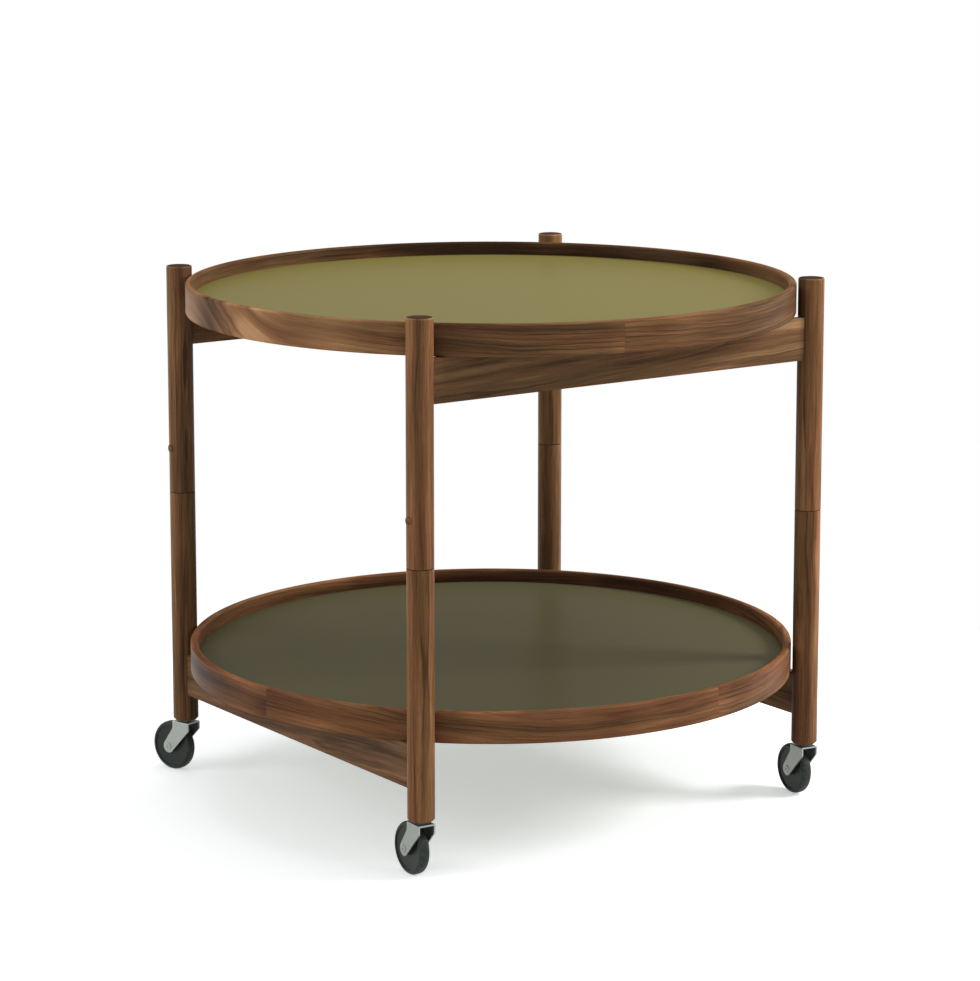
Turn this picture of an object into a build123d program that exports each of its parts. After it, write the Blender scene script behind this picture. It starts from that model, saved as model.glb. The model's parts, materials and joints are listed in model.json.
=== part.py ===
"""Folding serving trolley: two round trays lifted into four dowel legs on swivel casters.

Millimetres, +Z up, origin on the floor under the middle of the trays. X runs along the two upper
rails and Y along the two lower rails. Each leg is two halves joined by an upright pivot pin, so the
two upper frames and the two lower frames form a parallelogram.
"""

import os
from math import acos, atan2, cos, hypot, radians, sin, sqrt

from build123d import *

# Trays
tray_dia = 600.0
rim_height = 30.5
rim_thickness = 7.7
rim_rounding = 2.5
tray_recess = 13.5
core_thickness = 2.5
laminate_thickness = 0.5
groove_depth = 4.0
panel_play = 0.2
tray_leg_gap = 1.7

# Legs
leg_dia = 25.5
lower_leg_length = 236.4
upper_leg_length = 229.0
leg_top_rounding = 1.5
leg_foot_chamfer = 2.0
seam_chamfer = 0.3
fold_gap = 1.5

# Rails, each housed at both ends in a leg and held by dowels
rail_height = 42.0
rail_thickness = 9.0
rail_rounding = 1.0
lower_rail_rise = 27.2
upper_rail_drop = 38.0
housing_depth = 6.0
dowel_dia = 5.0
dowel_length = 24.0
dowel_spacing = 22.0
glue_gap = 0.05

# Pivots at the seam of each leg
pin_dia = 8.0
pin_seat = 30.0
pin_reach = 50.0
pin_end_room = 2.0
pin_chamfer = 0.6
pin_clearance = 0.05
pin_groove_depth = 1.0
pin_groove_play = 0.3
bush_wall = 2.0
bush_length = 33.0
washer_dia = 23.0
washer_thickness = 0.8

# Buttons on the left upper legs, each over a screw that keeps the leg on its pin
button_rise = 44.6
button_dia = 8.0
button_proud = 1.3
button_rounding = 1.0
button_shank_dia = 6.0
button_shank_length = 4.0
button_end_room = 0.3
screw_dia = 4.0
screw_socket = 2.0
screw_socket_depth = 2.0

# Casters
wheel_dia = 50.0
wheel_width = 11.0
crown_drop = 2.9
tread_flat = 3.0
tyre_depth = 5.5
core_flange = 2.0
web_thickness = 4.5
hub_dia = 13.0
hub_play = 0.3
trail = 16.7
wheel_headroom = 3.0
wheel_side_room = 2.0
fork_gauge = 1.5
fork_bend = 1.2
fork_front = 10.4
fork_back = 10.9
fork_front_drop = 8.5
fork_back_drop = 8.0
fork_throat = 6.0
arm_end_radius = 6.6
swivel_gap = 2.2
collar_dia = 9.0
spigot_dia = 5.0
rivet_head_dia = 8.5
rivet_head_height = 1.2
stem_dia = 7.0
stem_length = 20.0
stem_end_room = 2.0
socket_wall = 1.5
axle_dia = 5.0
axle_head_dia = 6.8
axle_head_height = 0.8
axle_dimple_dia = 2.6
axle_dimple_depth = 0.4
turning_clearance = 0.05

# The way each caster stands, as the direction from its stem to its axle, in degrees from +X
caster_headings = {"front_left": 87.0, "front_right": 83.0, "rear_left": 108.0, "rear_right": 96.0}

# Where the legs stand: they touch the trays all but the gap, and the upper rails are longer than the
# lower ones by a leg and a little more, so that the legs lie side by side when the frame is flat
tray_radius = tray_dia / 2
leg_radius = leg_dia / 2
diagonal = 2 * (tray_radius + tray_leg_gap + leg_radius)
rail_difference = leg_dia + fold_gap
span_x = (rail_difference + sqrt(2 * diagonal**2 - rail_difference**2)) / 2
span_y = span_x - rail_difference
leg_places = {
    "front_left": (-span_x / 2, -span_y / 2),
    "front_right": (span_x / 2, -span_y / 2),
    "rear_left": (-span_x / 2, span_y / 2),
    "rear_right": (span_x / 2, span_y / 2),
}

# Heights above the floor
axle_z = wheel_dia / 2
fork_top_z = wheel_dia + wheel_headroom
foot_z = fork_top_z + swivel_gap
seam_z = foot_z + lower_leg_length
upper_leg_z = seam_z + washer_thickness
leg_top_z = upper_leg_z + upper_leg_length
lower_rail_z = foot_z + lower_rail_rise
lower_tray_z = lower_rail_z + rail_height
upper_tray_z = leg_top_z - upper_rail_drop
upper_rail_z = upper_tray_z - rail_height

# Sizes that several pieces share
rim_inner_radius = tray_radius - rim_thickness
rail_end = leg_radius - housing_depth
pin_radius = pin_dia / 2
bush_bore_radius = pin_radius + pin_clearance
bush_radius = bush_bore_radius + bush_wall
pin_groove_width = screw_dia + 2 * pin_groove_play
fork_width = wheel_width + 2 * wheel_side_room + 2 * fork_gauge
stem_radius = stem_dia / 2
socket_radius = stem_radius + glue_gap + socket_wall
socket_length = stem_length + stem_end_room

# How far from the leg's axis a button's seat is, and where its screw starts and ends
button_seat = sqrt(leg_radius**2 - (button_dia / 2) ** 2)
screw_start = pin_radius - pin_groove_depth + pin_groove_play
screw_end = button_seat - button_shank_length - button_end_room

# A solid that stands on its plane, centred
SEATED = (Align.CENTER, Align.CENTER, Align.MIN)


def rail_plane(name):
    """The bottom face of a rail: its origin, its x along the rail."""
    planes = {
        "front": Plane((0, -span_y / 2, upper_rail_z), x_dir=(1, 0, 0)),
        "rear": Plane((0, span_y / 2, upper_rail_z), x_dir=(1, 0, 0)),
        "left": Plane((-span_x / 2, 0, lower_rail_z), x_dir=(0, 1, 0)),
        "right": Plane((span_x / 2, 0, lower_rail_z), x_dir=(0, 1, 0)),
    }
    return planes[name]


def rail_length(name):
    """A rail runs from housing to housing between the two legs of its side."""
    span = span_x if name in ("front", "rear") else span_y
    return span - 2 * rail_end


def dowel_planes(name):
    """The start of each dowel of a rail, looking along the rail, with the dowel half in the rail."""
    base = rail_plane(name)
    starts = []
    for end in (-1, 1):
        middle = end * rail_length(name) / 2
        for row in (-1, 1):
            height = rail_height / 2 + row * dowel_spacing / 2
            start = base.from_local_coords(Vector(middle - dowel_length / 2, 0, height))
            starts.append(Plane(start, x_dir=(0, 0, 1), z_dir=base.x_dir))
    return starts


def cut_rail_seat(name):
    """Cut the housing and the dowel holes of a rail's end from the leg being built."""
    with Locations(rail_plane(name)):
        Box(rail_length(name), rail_thickness, rail_height, align=SEATED, mode=Mode.SUBTRACT)
    cut_dowel_holes(name)


def cut_dowel_holes(name):
    """Cut the holes of a rail's dowels from the piece being built."""
    with Locations(*dowel_planes(name)):
        Cylinder(dowel_dia / 2 + glue_gap, dowel_length, align=SEATED, mode=Mode.SUBTRACT)


def round_bar(place, height, length, radius):
    """Add an upright cylinder, standing at a height, to the piece being built."""
    with Locations((*place, height)):
        Cylinder(radius, length, align=SEATED)


def has_button(corner):
    return corner.endswith("left")


def button_plane(corner, distance):
    """A plane under a leg's button, at a distance from the leg's axis, facing left."""
    x, y = leg_places[corner]
    return Plane((x - distance, y, upper_leg_z + button_rise), x_dir=(0, 1, 0), z_dir=(-1, 0, 0))


def cross_bar(corner, start, end, radius, mode=Mode.ADD):
    """Add or cut a level cylinder at a leg's button, between two distances from the leg's axis."""
    with Locations(button_plane(corner, start)):
        Cylinder(radius, end - start, align=SEATED, mode=mode)


def make_lower_leg(corner, rail):
    place = leg_places[corner]
    with BuildPart() as leg:
        round_bar(place, foot_z, lower_leg_length, leg_radius)
        chamfer(leg.faces().sort_by(Axis.Z)[0].edges(), length=leg_foot_chamfer)
        chamfer(leg.faces().sort_by(Axis.Z)[-1].edges(), length=seam_chamfer)
        cut_rail_seat(rail)
        with Locations((*place, seam_z)):
            Hole(pin_radius + glue_gap, depth=pin_seat)
        with Locations(Plane((*place, foot_z), z_dir=(0, 0, -1))):
            Hole(socket_radius + glue_gap, depth=socket_length)
    return leg.part


def make_upper_leg(corner, rail):
    place = leg_places[corner]
    with BuildPart() as leg:
        round_bar(place, upper_leg_z, upper_leg_length, leg_radius)
        fillet(leg.faces().sort_by(Axis.Z)[-1].edges(), radius=leg_top_rounding)
        chamfer(leg.faces().sort_by(Axis.Z)[0].edges(), length=seam_chamfer)
        cut_rail_seat(rail)
        with Locations(Plane((*place, upper_leg_z), z_dir=(0, 0, -1))):
            Hole(bush_radius + glue_gap, depth=bush_length)
            Hole(bush_bore_radius, depth=pin_reach + pin_end_room)
        if has_button(corner):
            cross_bar(corner, button_seat, leg_radius, button_dia / 2 + glue_gap, Mode.SUBTRACT)
            cross_bar(corner, screw_end, button_seat, button_shank_dia / 2 + glue_gap, Mode.SUBTRACT)
            cross_bar(corner, 0, screw_end, screw_dia / 2 + glue_gap, Mode.SUBTRACT)
    return leg.part


def make_rail(name):
    with BuildPart() as rail:
        with BuildSketch(rail_plane(name)):
            Rectangle(rail_length(name), rail_thickness)
        extrude(amount=rail_height)
        along = Axis.X if name in ("front", "rear") else Axis.Y
        fillet(rail.edges().filter_by(along), radius=rail_rounding)
        cut_dowel_holes(name)
    return rail.part


def make_dowels(name):
    with BuildPart() as dowels:
        with Locations(*dowel_planes(name)):
            Cylinder(dowel_dia / 2, dowel_length, align=SEATED)
    return dowels.part


def make_pivot_pin(corner):
    """A pin glued in the lower leg, with a groove where the upper leg has a screw."""
    place = leg_places[corner]
    groove_z = upper_leg_z + button_rise - pin_groove_width / 2
    with BuildPart() as pin:
        length = pin_seat + washer_thickness + pin_reach
        round_bar(place, seam_z - pin_seat, length, pin_radius)
        chamfer(pin.edges().filter_by(GeomType.CIRCLE), length=pin_chamfer)
        if has_button(corner):
            with Locations((*place, groove_z)):
                Cylinder(pin_radius, pin_groove_width, align=SEATED, mode=Mode.SUBTRACT)
            round_bar(place, groove_z, pin_groove_width, pin_radius - pin_groove_depth)
    return pin.part


def make_pivot_bush(corner):
    place = leg_places[corner]
    with BuildPart() as bush:
        round_bar(place, upper_leg_z, bush_length, bush_radius)
        with Locations((*place, upper_leg_z + bush_length)):
            Hole(bush_bore_radius, depth=bush_length)
    return bush.part


def make_retaining_screw(corner):
    """A headless screw with its tip in the pin's groove and its hexagon socket under the button."""
    with BuildPart() as screw:
        cross_bar(corner, screw_start, screw_end, screw_dia / 2)
        with BuildSketch(button_plane(corner, screw_end)):
            RegularPolygon(screw_socket / 2, 6, major_radius=False)
        extrude(amount=-screw_socket_depth, mode=Mode.SUBTRACT)
    return screw.part


def make_button_plug(corner):
    """A low round button let into a flat seat, with a shank over the screw."""
    with BuildPart() as plug:
        cross_bar(corner, button_seat - button_shank_length, button_seat, button_shank_dia / 2)
        cross_bar(corner, button_seat, leg_radius + button_proud, button_dia / 2)
        fillet(plug.faces().sort_by(Axis.X)[0].edges(), radius=button_rounding)
    return plug.part


def make_seam_washers(corners):
    with BuildPart() as washers:
        for corner in corners:
            place = leg_places[corner]
            round_bar(place, seam_z, washer_thickness, washer_dia / 2)
            with Locations((*place, upper_leg_z)):
                Hole(pin_radius + glue_gap, depth=washer_thickness)
    return washers.part


def make_tray_rim(base_z):
    core_z = base_z + rim_height - tray_recess - laminate_thickness - core_thickness
    with BuildPart() as rim:
        with BuildSketch(Plane.XZ):
            with Locations((tray_radius - rim_thickness / 2, base_z + rim_height / 2)):
                RectangleRounded(rim_thickness, rim_height, rim_rounding)
            with Locations((rim_inner_radius, core_z)):
                Rectangle(groove_depth, core_thickness, align=Align.MIN, mode=Mode.SUBTRACT)
        revolve(axis=Axis.Z)
    return rim.part


def make_tray_core(base_z):
    core_z = base_z + rim_height - tray_recess - laminate_thickness - core_thickness
    with BuildPart() as core:
        round_bar((0, 0), core_z, core_thickness, rim_inner_radius + groove_depth - panel_play)
    return core.part


def make_laminate(base_z, side):
    top_z = base_z + rim_height - tray_recess
    lift = {"top": -laminate_thickness, "base": -2 * laminate_thickness - core_thickness}[side]
    with BuildPart() as laminate:
        round_bar((0, 0), top_z + lift, laminate_thickness, rim_inner_radius - panel_play)
    return laminate.part


def caster_plane(corner):
    """The upright plane of a wheel, x along the trail, y up, origin at the floor under the stem."""
    heading = radians(caster_headings[corner])
    along = (cos(heading), sin(heading), 0)
    across = (sin(heading), -cos(heading), 0)
    return Plane((*leg_places[corner], 0), x_dir=along, z_dir=across)


def tangent_point(start, centre, radius, side):
    """Where a line from start touches a circle, on the side given as +1 or -1."""
    reach = hypot(start[0] - centre[0], start[1] - centre[1])
    angle = atan2(start[1] - centre[1], start[0] - centre[0]) + side * acos(radius / reach)
    return (centre[0] + radius * cos(angle), centre[1] + radius * sin(angle))


def make_fork(corner):
    """A folded sheet: a top plate and two arms that lean back to the axle."""
    plane = caster_plane(corner)
    axle = (trail, axle_z)
    front_knee = (-fork_front, fork_top_z - fork_front_drop)
    back_knee = (fork_back, fork_top_z - fork_back_drop)
    front_tangent = tangent_point(front_knee, axle, arm_end_radius, 1)
    back_tangent = tangent_point(back_knee, axle, arm_end_radius, -1)
    lean = atan2(axle_z - fork_top_z, trail)
    arm_end = (axle[0] + arm_end_radius * cos(lean), axle[1] + arm_end_radius * sin(lean))
    with BuildPart() as fork:
        with BuildSketch(plane):
            with BuildLine():
                Line((fork_back, fork_top_z), (-fork_front, fork_top_z))
                Line((-fork_front, fork_top_z), front_knee)
                Line(front_knee, front_tangent)
                ThreePointArc(front_tangent, arm_end, back_tangent)
                Line(back_tangent, back_knee)
                Line(back_knee, (fork_back, fork_top_z))
            make_face()
        extrude(amount=fork_width / 2, both=True)
        knees = fork.edges().filter_by(lambda edge: abs(edge.tangent_at(0.5).dot(plane.z_dir)) > 0.99)
        throat = knees.sort_by_distance(plane.from_local_coords(Vector(*back_knee, 0)))[0]
        fillet(throat, radius=fork_throat)
        brow = knees.sort_by_distance(plane.from_local_coords(Vector(*front_knee, 0)))[0]
        fillet(brow, radius=fork_gauge)
        bends = fork.edges().filter_by(lambda edge: abs(edge.tangent_at(0.5).dot(plane.x_dir)) > 0.99)
        fillet(bends, radius=fork_bend)
        with BuildSketch(plane):
            with Locations((0, fork_top_z - fork_gauge)):
                Rectangle(2 * (trail + arm_end_radius), fork_top_z, align=(Align.CENTER, Align.MAX))
        extrude(amount=fork_width / 2 - fork_gauge, both=True, mode=Mode.SUBTRACT)
        with Locations((*leg_places[corner], fork_top_z)):
            Hole(spigot_dia / 2 + turning_clearance, depth=fork_gauge)
        with BuildSketch(plane):
            with Locations(axle):
                Circle(axle_dia / 2 + glue_gap)
        extrude(amount=fork_width / 2, both=True, mode=Mode.SUBTRACT)
    return fork.part


def make_stem(corner):
    """The swivel stem: a shank in the leg's socket, a collar, and a spigot riveted under the fork."""
    place = leg_places[corner]
    with BuildPart() as stem:
        round_bar(place, fork_top_z, swivel_gap, collar_dia / 2)
        round_bar(place, foot_z, stem_length, stem_radius)
        round_bar(place, fork_top_z - fork_gauge, fork_gauge, spigot_dia / 2)
        head_z = fork_top_z - fork_gauge - rivet_head_height
        round_bar(place, head_z, rivet_head_height, rivet_head_dia / 2)
        fillet(stem.faces().sort_by(Axis.Z)[0].edges(), radius=rivet_head_height / 2)
        chamfer(stem.faces().sort_by(Axis.Z)[-1].edges(), length=pin_chamfer)
    return stem.part


def make_sockets(corners):
    with BuildPart() as sockets:
        for corner in corners:
            place = leg_places[corner]
            round_bar(place, foot_z, socket_length, socket_radius)
            with Locations((*place, foot_z + socket_length)):
                Hole(stem_radius + glue_gap, depth=socket_length)
    return sockets.part


def make_axle(corner):
    """A rivet across the fork, with a low head outside each arm."""
    plane = caster_plane(corner)
    with BuildPart() as axle:
        with BuildSketch(plane):
            with Locations((trail, axle_z)):
                Circle(axle_dia / 2)
        extrude(amount=fork_width / 2 + axle_head_height, both=True)
        for side in (-1, 1):
            outside = plane.offset(side * fork_width / 2)
            with BuildSketch(outside):
                with Locations((trail, axle_z)):
                    Circle(axle_head_dia / 2)
            extrude(amount=side * axle_head_height)
        ends = axle.faces().filter_by(lambda face: abs(face.normal_at().dot(plane.z_dir)) > 0.99)
        crowns = ends.sort_by(lambda face: abs(plane.to_local_coords(face.center()).Z))[-2:]
        fillet([edge for crown in crowns for edge in crown.edges()], radius=axle_head_height / 2)
        for side in (-1, 1):
            outside = plane.offset(side * (fork_width / 2 + axle_head_height))
            with BuildSketch(outside):
                with Locations((trail, axle_z)):
                    Circle(axle_dimple_dia / 2)
            extrude(amount=-side * axle_dimple_depth, mode=Mode.SUBTRACT)
    return axle.part


def wheel_section_plane(corner):
    """A plane through the wheel's axis: x outwards from the axis, y along the axis."""
    plane = caster_plane(corner)
    centre = plane.from_local_coords(Vector(trail, axle_z, 0))
    return Plane(centre, x_dir=plane.x_dir, z_dir=(0, 0, -1))


def make_wheel_core(corner):
    """The plastic wheel body: a bored hub, a thin web and a flange under the tyre."""
    section = wheel_section_plane(corner)
    core_radius = wheel_dia / 2 - tyre_depth
    hub_width = fork_width - 2 * fork_gauge - 2 * hub_play
    with BuildPart() as core:
        with BuildSketch(section):
            Rectangle(core_radius, web_thickness, align=(Align.MIN, Align.CENTER))
            Rectangle(hub_dia / 2, hub_width, align=(Align.MIN, Align.CENTER))
            with Locations((core_radius, 0)):
                Rectangle(core_flange, wheel_width, align=(Align.MAX, Align.CENTER))
            Rectangle(axle_dia / 2 + turning_clearance, hub_width, align=(Align.MIN, Align.CENTER),
                      mode=Mode.SUBTRACT)
        revolve(axis=Axis(section.origin, section.y_dir))
    return core.part


def make_tyre(corner):
    """The tyre, crowned from a narrow flat to lower shoulders."""
    section = wheel_section_plane(corner)
    outer = wheel_dia / 2
    inner = outer - tyre_depth + glue_gap
    shoulder = outer - crown_drop
    half = wheel_width / 2
    with BuildPart() as tyre:
        with BuildSketch(section):
            with BuildLine():
                Line((inner, -half), (inner, half))
                Line((inner, half), (shoulder, half))
                TangentArc((outer, tread_flat / 2), (shoulder, half), tangent=(0, 1))
                Line((outer, tread_flat / 2), (outer, -tread_flat / 2))
                TangentArc((outer, -tread_flat / 2), (shoulder, -half), tangent=(0, -1))
                Line((shoulder, -half), (inner, -half))
            make_face()
        revolve(axis=Axis(section.origin, section.y_dir))
    return tyre.part


def main():
    pieces = {}
    left_corners = ("front_left", "rear_left")
    right_corners = ("front_right", "rear_right")
    for corner in leg_places:
        end, side = corner.split("_")
        pieces[f"lower_leg_{corner}"] = make_lower_leg(corner, side)
        pieces[f"upper_leg_{corner}"] = make_upper_leg(corner, end)
        pieces[f"pivot_pin_{corner}"] = make_pivot_pin(corner)
        pieces[f"pivot_bush_{corner}"] = make_pivot_bush(corner)
        pieces[f"caster_stem_{corner}"] = make_stem(corner)
        pieces[f"caster_fork_{corner}"] = make_fork(corner)
        pieces[f"caster_axle_{corner}"] = make_axle(corner)
        pieces[f"wheel_core_{corner}"] = make_wheel_core(corner)
        pieces[f"wheel_tyre_{corner}"] = make_tyre(corner)
        if has_button(corner):
            pieces[f"retaining_screw_{corner}"] = make_retaining_screw(corner)
            pieces[f"button_plug_{corner}"] = make_button_plug(corner)
    for side, corners in (("left", left_corners), ("right", right_corners)):
        pieces[f"seam_washers_{side}"] = make_seam_washers(corners)
        pieces[f"caster_sockets_{side}"] = make_sockets(corners)
        pieces[f"lower_rail_{side}"] = make_rail(side)
        pieces[f"lower_rail_dowels_{side}"] = make_dowels(side)
    for end in ("front", "rear"):
        pieces[f"upper_rail_{end}"] = make_rail(end)
        pieces[f"upper_rail_dowels_{end}"] = make_dowels(end)
    for level, base_z in (("upper", upper_tray_z), ("lower", lower_tray_z)):
        pieces[f"{level}_tray_rim"] = make_tray_rim(base_z)
        pieces[f"{level}_tray_core"] = make_tray_core(base_z)
        pieces[f"{level}_tray_top_laminate"] = make_laminate(base_z, "top")
        pieces[f"{level}_tray_base_laminate"] = make_laminate(base_z, "base")

    os.makedirs("parts", exist_ok=True)
    for name, piece in pieces.items():
        piece.label = name
        export_step(piece, f"parts/{name}.step")
    print(f"{len(pieces)} pieces, legs {span_x:.1f} by {span_y:.1f} apart, top at {leg_top_z:.1f}")


main()
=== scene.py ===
"""Folding serving trolley: the looks of two round trays, four dowel legs and four swivel casters.

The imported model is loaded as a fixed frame, in metres, +Z up, with the origin on the floor under the
middle of the trays. Each operator dresses one group of pieces.
"""

import json
from math import cos, pi, radians, sin

import bpy
from bpy.props import FloatProperty, FloatVectorProperty, IntProperty, PointerProperty
from mathutils import Matrix, Vector

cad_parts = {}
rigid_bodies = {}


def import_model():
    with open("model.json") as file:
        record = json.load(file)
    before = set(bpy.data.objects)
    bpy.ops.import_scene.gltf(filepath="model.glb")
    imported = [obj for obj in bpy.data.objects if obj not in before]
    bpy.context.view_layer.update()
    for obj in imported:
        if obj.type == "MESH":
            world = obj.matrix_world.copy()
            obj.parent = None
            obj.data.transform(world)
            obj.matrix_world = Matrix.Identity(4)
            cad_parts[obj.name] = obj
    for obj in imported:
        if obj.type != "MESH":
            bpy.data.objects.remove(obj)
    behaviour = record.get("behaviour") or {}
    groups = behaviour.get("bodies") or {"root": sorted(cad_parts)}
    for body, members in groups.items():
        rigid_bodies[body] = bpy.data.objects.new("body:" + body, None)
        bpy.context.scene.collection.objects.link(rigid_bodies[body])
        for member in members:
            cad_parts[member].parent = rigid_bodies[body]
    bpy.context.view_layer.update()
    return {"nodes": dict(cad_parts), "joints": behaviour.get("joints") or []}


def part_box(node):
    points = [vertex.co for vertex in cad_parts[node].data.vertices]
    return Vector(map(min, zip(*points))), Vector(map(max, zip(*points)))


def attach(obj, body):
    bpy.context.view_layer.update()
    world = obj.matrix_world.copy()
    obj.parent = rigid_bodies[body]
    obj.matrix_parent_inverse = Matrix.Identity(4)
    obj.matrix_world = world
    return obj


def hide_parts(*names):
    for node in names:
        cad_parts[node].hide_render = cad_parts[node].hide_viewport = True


bl_info = {
    "name": "Serving Trolley",
    "version": (1, 0, 0),
    "blender": (4, 5, 0),
    "location": "View3D > Sidebar > Trolley",
    "description": "Dresses the packed serving trolley with its woods, panels, metals and wheels",
    "category": "Object",
}

for leftover in list(bpy.data.objects):
    bpy.data.objects.remove(leftover)
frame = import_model()

CORNERS = ("front_left", "front_right", "rear_left", "rear_right")
WHITE = (1.0, 1.0, 1.0)
# How far round the trolley, from its front, the photo was taken, in degrees
VIEW_YAW = 35.0


def middle_of(node):
    low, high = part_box(node)
    return (low + high) / 2


# Trees of nodes


class Value:
    """A socket in a tree. Sums, products and the like of it add Math nodes."""

    def __init__(self, tree, socket):
        self.tree = tree
        self.socket = socket

    def math(self, operation, *terms):
        return self.tree.node("ShaderNodeMath", {"operation": operation}, dict(enumerate(terms)))

    def __add__(self, other):
        return self.math("ADD", self, other)

    __radd__ = __add__

    def __sub__(self, other):
        return self.math("SUBTRACT", self, other)

    def __rsub__(self, other):
        return self.math("SUBTRACT", other, self)

    def __mul__(self, other):
        return self.math("MULTIPLY", self, other)

    __rmul__ = __mul__

    def __truediv__(self, other):
        return self.math("DIVIDE", self, other)

    def __rtruediv__(self, other):
        return self.math("DIVIDE", other, self)

    def __pow__(self, other):
        return self.math("POWER", self, other)

    def __abs__(self):
        return self.math("ABSOLUTE", self)

    def above(self, other):
        return self.math("GREATER_THAN", self, other)

    def fraction(self):
        return self.math("FRACT", self)

    def smooth(self, low, high):
        """0 up to low, 1 from high on, and an even bend between."""
        settings = {"interpolation_type": "SMOOTHSTEP"}
        return self.tree.node("ShaderNodeMapRange", settings, {0: self, 1: low, 2: high})


class Tree:
    """A node tree that is built by calls."""

    def __init__(self, node_tree):
        self.nodes = node_tree.nodes
        self.links = node_tree.links
        self.nodes.clear()

    def node(self, kind, settings=None, sockets=None, output=0):
        """Add a node: its settings first, then the values or links of its sockets."""
        new = self.nodes.new(kind)
        for name, value in (settings or {}).items():
            if name == "stops":
                for position, colour in value[1:-1]:
                    new.color_ramp.elements.new(position)
                for element, (position, colour) in zip(new.color_ramp.elements, value):
                    element.position = position
                    element.color = (*colour, 1.0)
            elif name == "interpolation":
                new.color_ramp.interpolation = value
            else:
                setattr(new, name, value)
        for name, value in (sockets or {}).items():
            if isinstance(value, Value):
                self.links.new(value.socket, new.inputs[name])
            else:
                new.inputs[name].default_value = value
        outputs = [socket for socket in new.outputs if socket.enabled]
        return Value(self, outputs[output]) if outputs else None

    def point(self, x, y, z):
        return self.node("ShaderNodeCombineXYZ", {}, {0: x, 1: y, 2: z})

    def split(self, vector):
        return [self.node("ShaderNodeSeparateXYZ", {}, {0: vector}, output) for output in range(3)]

    def here(self):
        """The object's own coordinates."""
        return self.split(self.node("ShaderNodeTexCoord", {}, {}, 3))

    def facing(self):
        """Which way the surface faces, in the object's own coordinates."""
        return self.split(self.node("ShaderNodeTexCoord", {}, {}, 1))

    def noise(self, point, detail, roughness=0.5):
        sockets = {"Vector": point, "Scale": 1.0, "Detail": detail, "Roughness": roughness, "Distortion": 0.0}
        return self.node("ShaderNodeTexNoise", {"noise_dimensions": "3D"}, sockets)

    def speckle(self, rate, detail, roughness=0.5, up=None):
        """Noise over the object at a rate for each metre. up is another rate for its height."""
        x, y, z = self.here()
        return self.noise(self.point(x * rate, y * rate, z * (up or rate)), detail, roughness)

    def ramp(self, value, stops, interpolation="LINEAR"):
        return self.node("ShaderNodeValToRGB", {"interpolation": interpolation, "stops": stops}, {0: value})

    def grey_ramp(self, value, stops, interpolation="EASE"):
        return self.ramp(value, [(position, (level,) * 3) for position, level in stops], interpolation)

    def mix(self, factor, first, second, blend="MIX"):
        """Two colours mixed. Each is a Value or three numbers."""
        colours = [colour if isinstance(colour, Value) else opaque(colour) for colour in (first, second)]
        sockets = {0: factor, 6: colours[0], 7: colours[1]}
        return self.node("ShaderNodeMix", {"data_type": "RGBA", "blend_type": blend}, sockets)

    def tint(self, colour, cast):
        return self.mix(1.0, colour, cast, "MULTIPLY")

    def scale(self, colour, value):
        return self.node("ShaderNodeVectorMath", {"operation": "SCALE"}, {0: colour, 3: value})

    def bump(self, height, strength, distance):
        return self.node("ShaderNodeBump", {}, {"Strength": strength, "Distance": distance, "Height": height})


def shaded(name, build):
    """A material whose surface build(tree) returns as the sockets of a Principled BSDF."""
    material = bpy.data.materials.get(name) or bpy.data.materials.new(name)
    material.use_nodes = True
    tree = Tree(material.node_tree)
    surface = tree.node("ShaderNodeBsdfPrincipled", {}, build(tree))
    tree.node("ShaderNodeOutputMaterial", {}, {0: surface})
    return material


def opaque(colour):
    return (*colour, 1.0)


def wear(node, material):
    """Give a CAD node's object its material."""
    slots = frame["nodes"][node].data.materials
    slots.clear()
    slots.append(material)


# Sizes and colours that a user would change


class TrolleyStage(bpy.types.PropertyGroup):
    distance: FloatProperty(
        name="Camera distance", description="From the camera to the upright line through the trays' middle",
        default=3.254, unit="LENGTH")
    height: FloatProperty(
        name="Camera height", description="Of the camera above the floor", default=0.9567, unit="LENGTH")
    pitch: FloatProperty(
        name="Camera pitch", description="How far the camera looks down",
        default=radians(9.70), subtype="ANGLE")
    aside: FloatProperty(
        name="Camera aside", description="How far the camera stands to its right",
        default=-0.0009, unit="LENGTH")
    lens: FloatProperty(
        name="Lens", description="Focal length on a 36 mm sensor, in millimetres", default=122.33)
    shift: FloatProperty(
        name="Lens shift", description="Upward lens shift, as a share of the frame", default=-0.10)
    sky: FloatProperty(
        name="Room light", description="Level of the light from all round", default=0.40, min=0.0)
    key: FloatProperty(
        name="Key light", description="Level of the lamp on the right", default=0.65, min=0.0)
    fill: FloatProperty(
        name="Fill light", description="Level of the lamp on the left", default=0.25, min=0.0)
    top: FloatProperty(name="Top light", description="Level of the lamp above", default=0.49, min=0.0)
    front: FloatProperty(
        name="Front light", description="Level of the lamp behind the camera", default=0.06, min=0.0)


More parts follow.
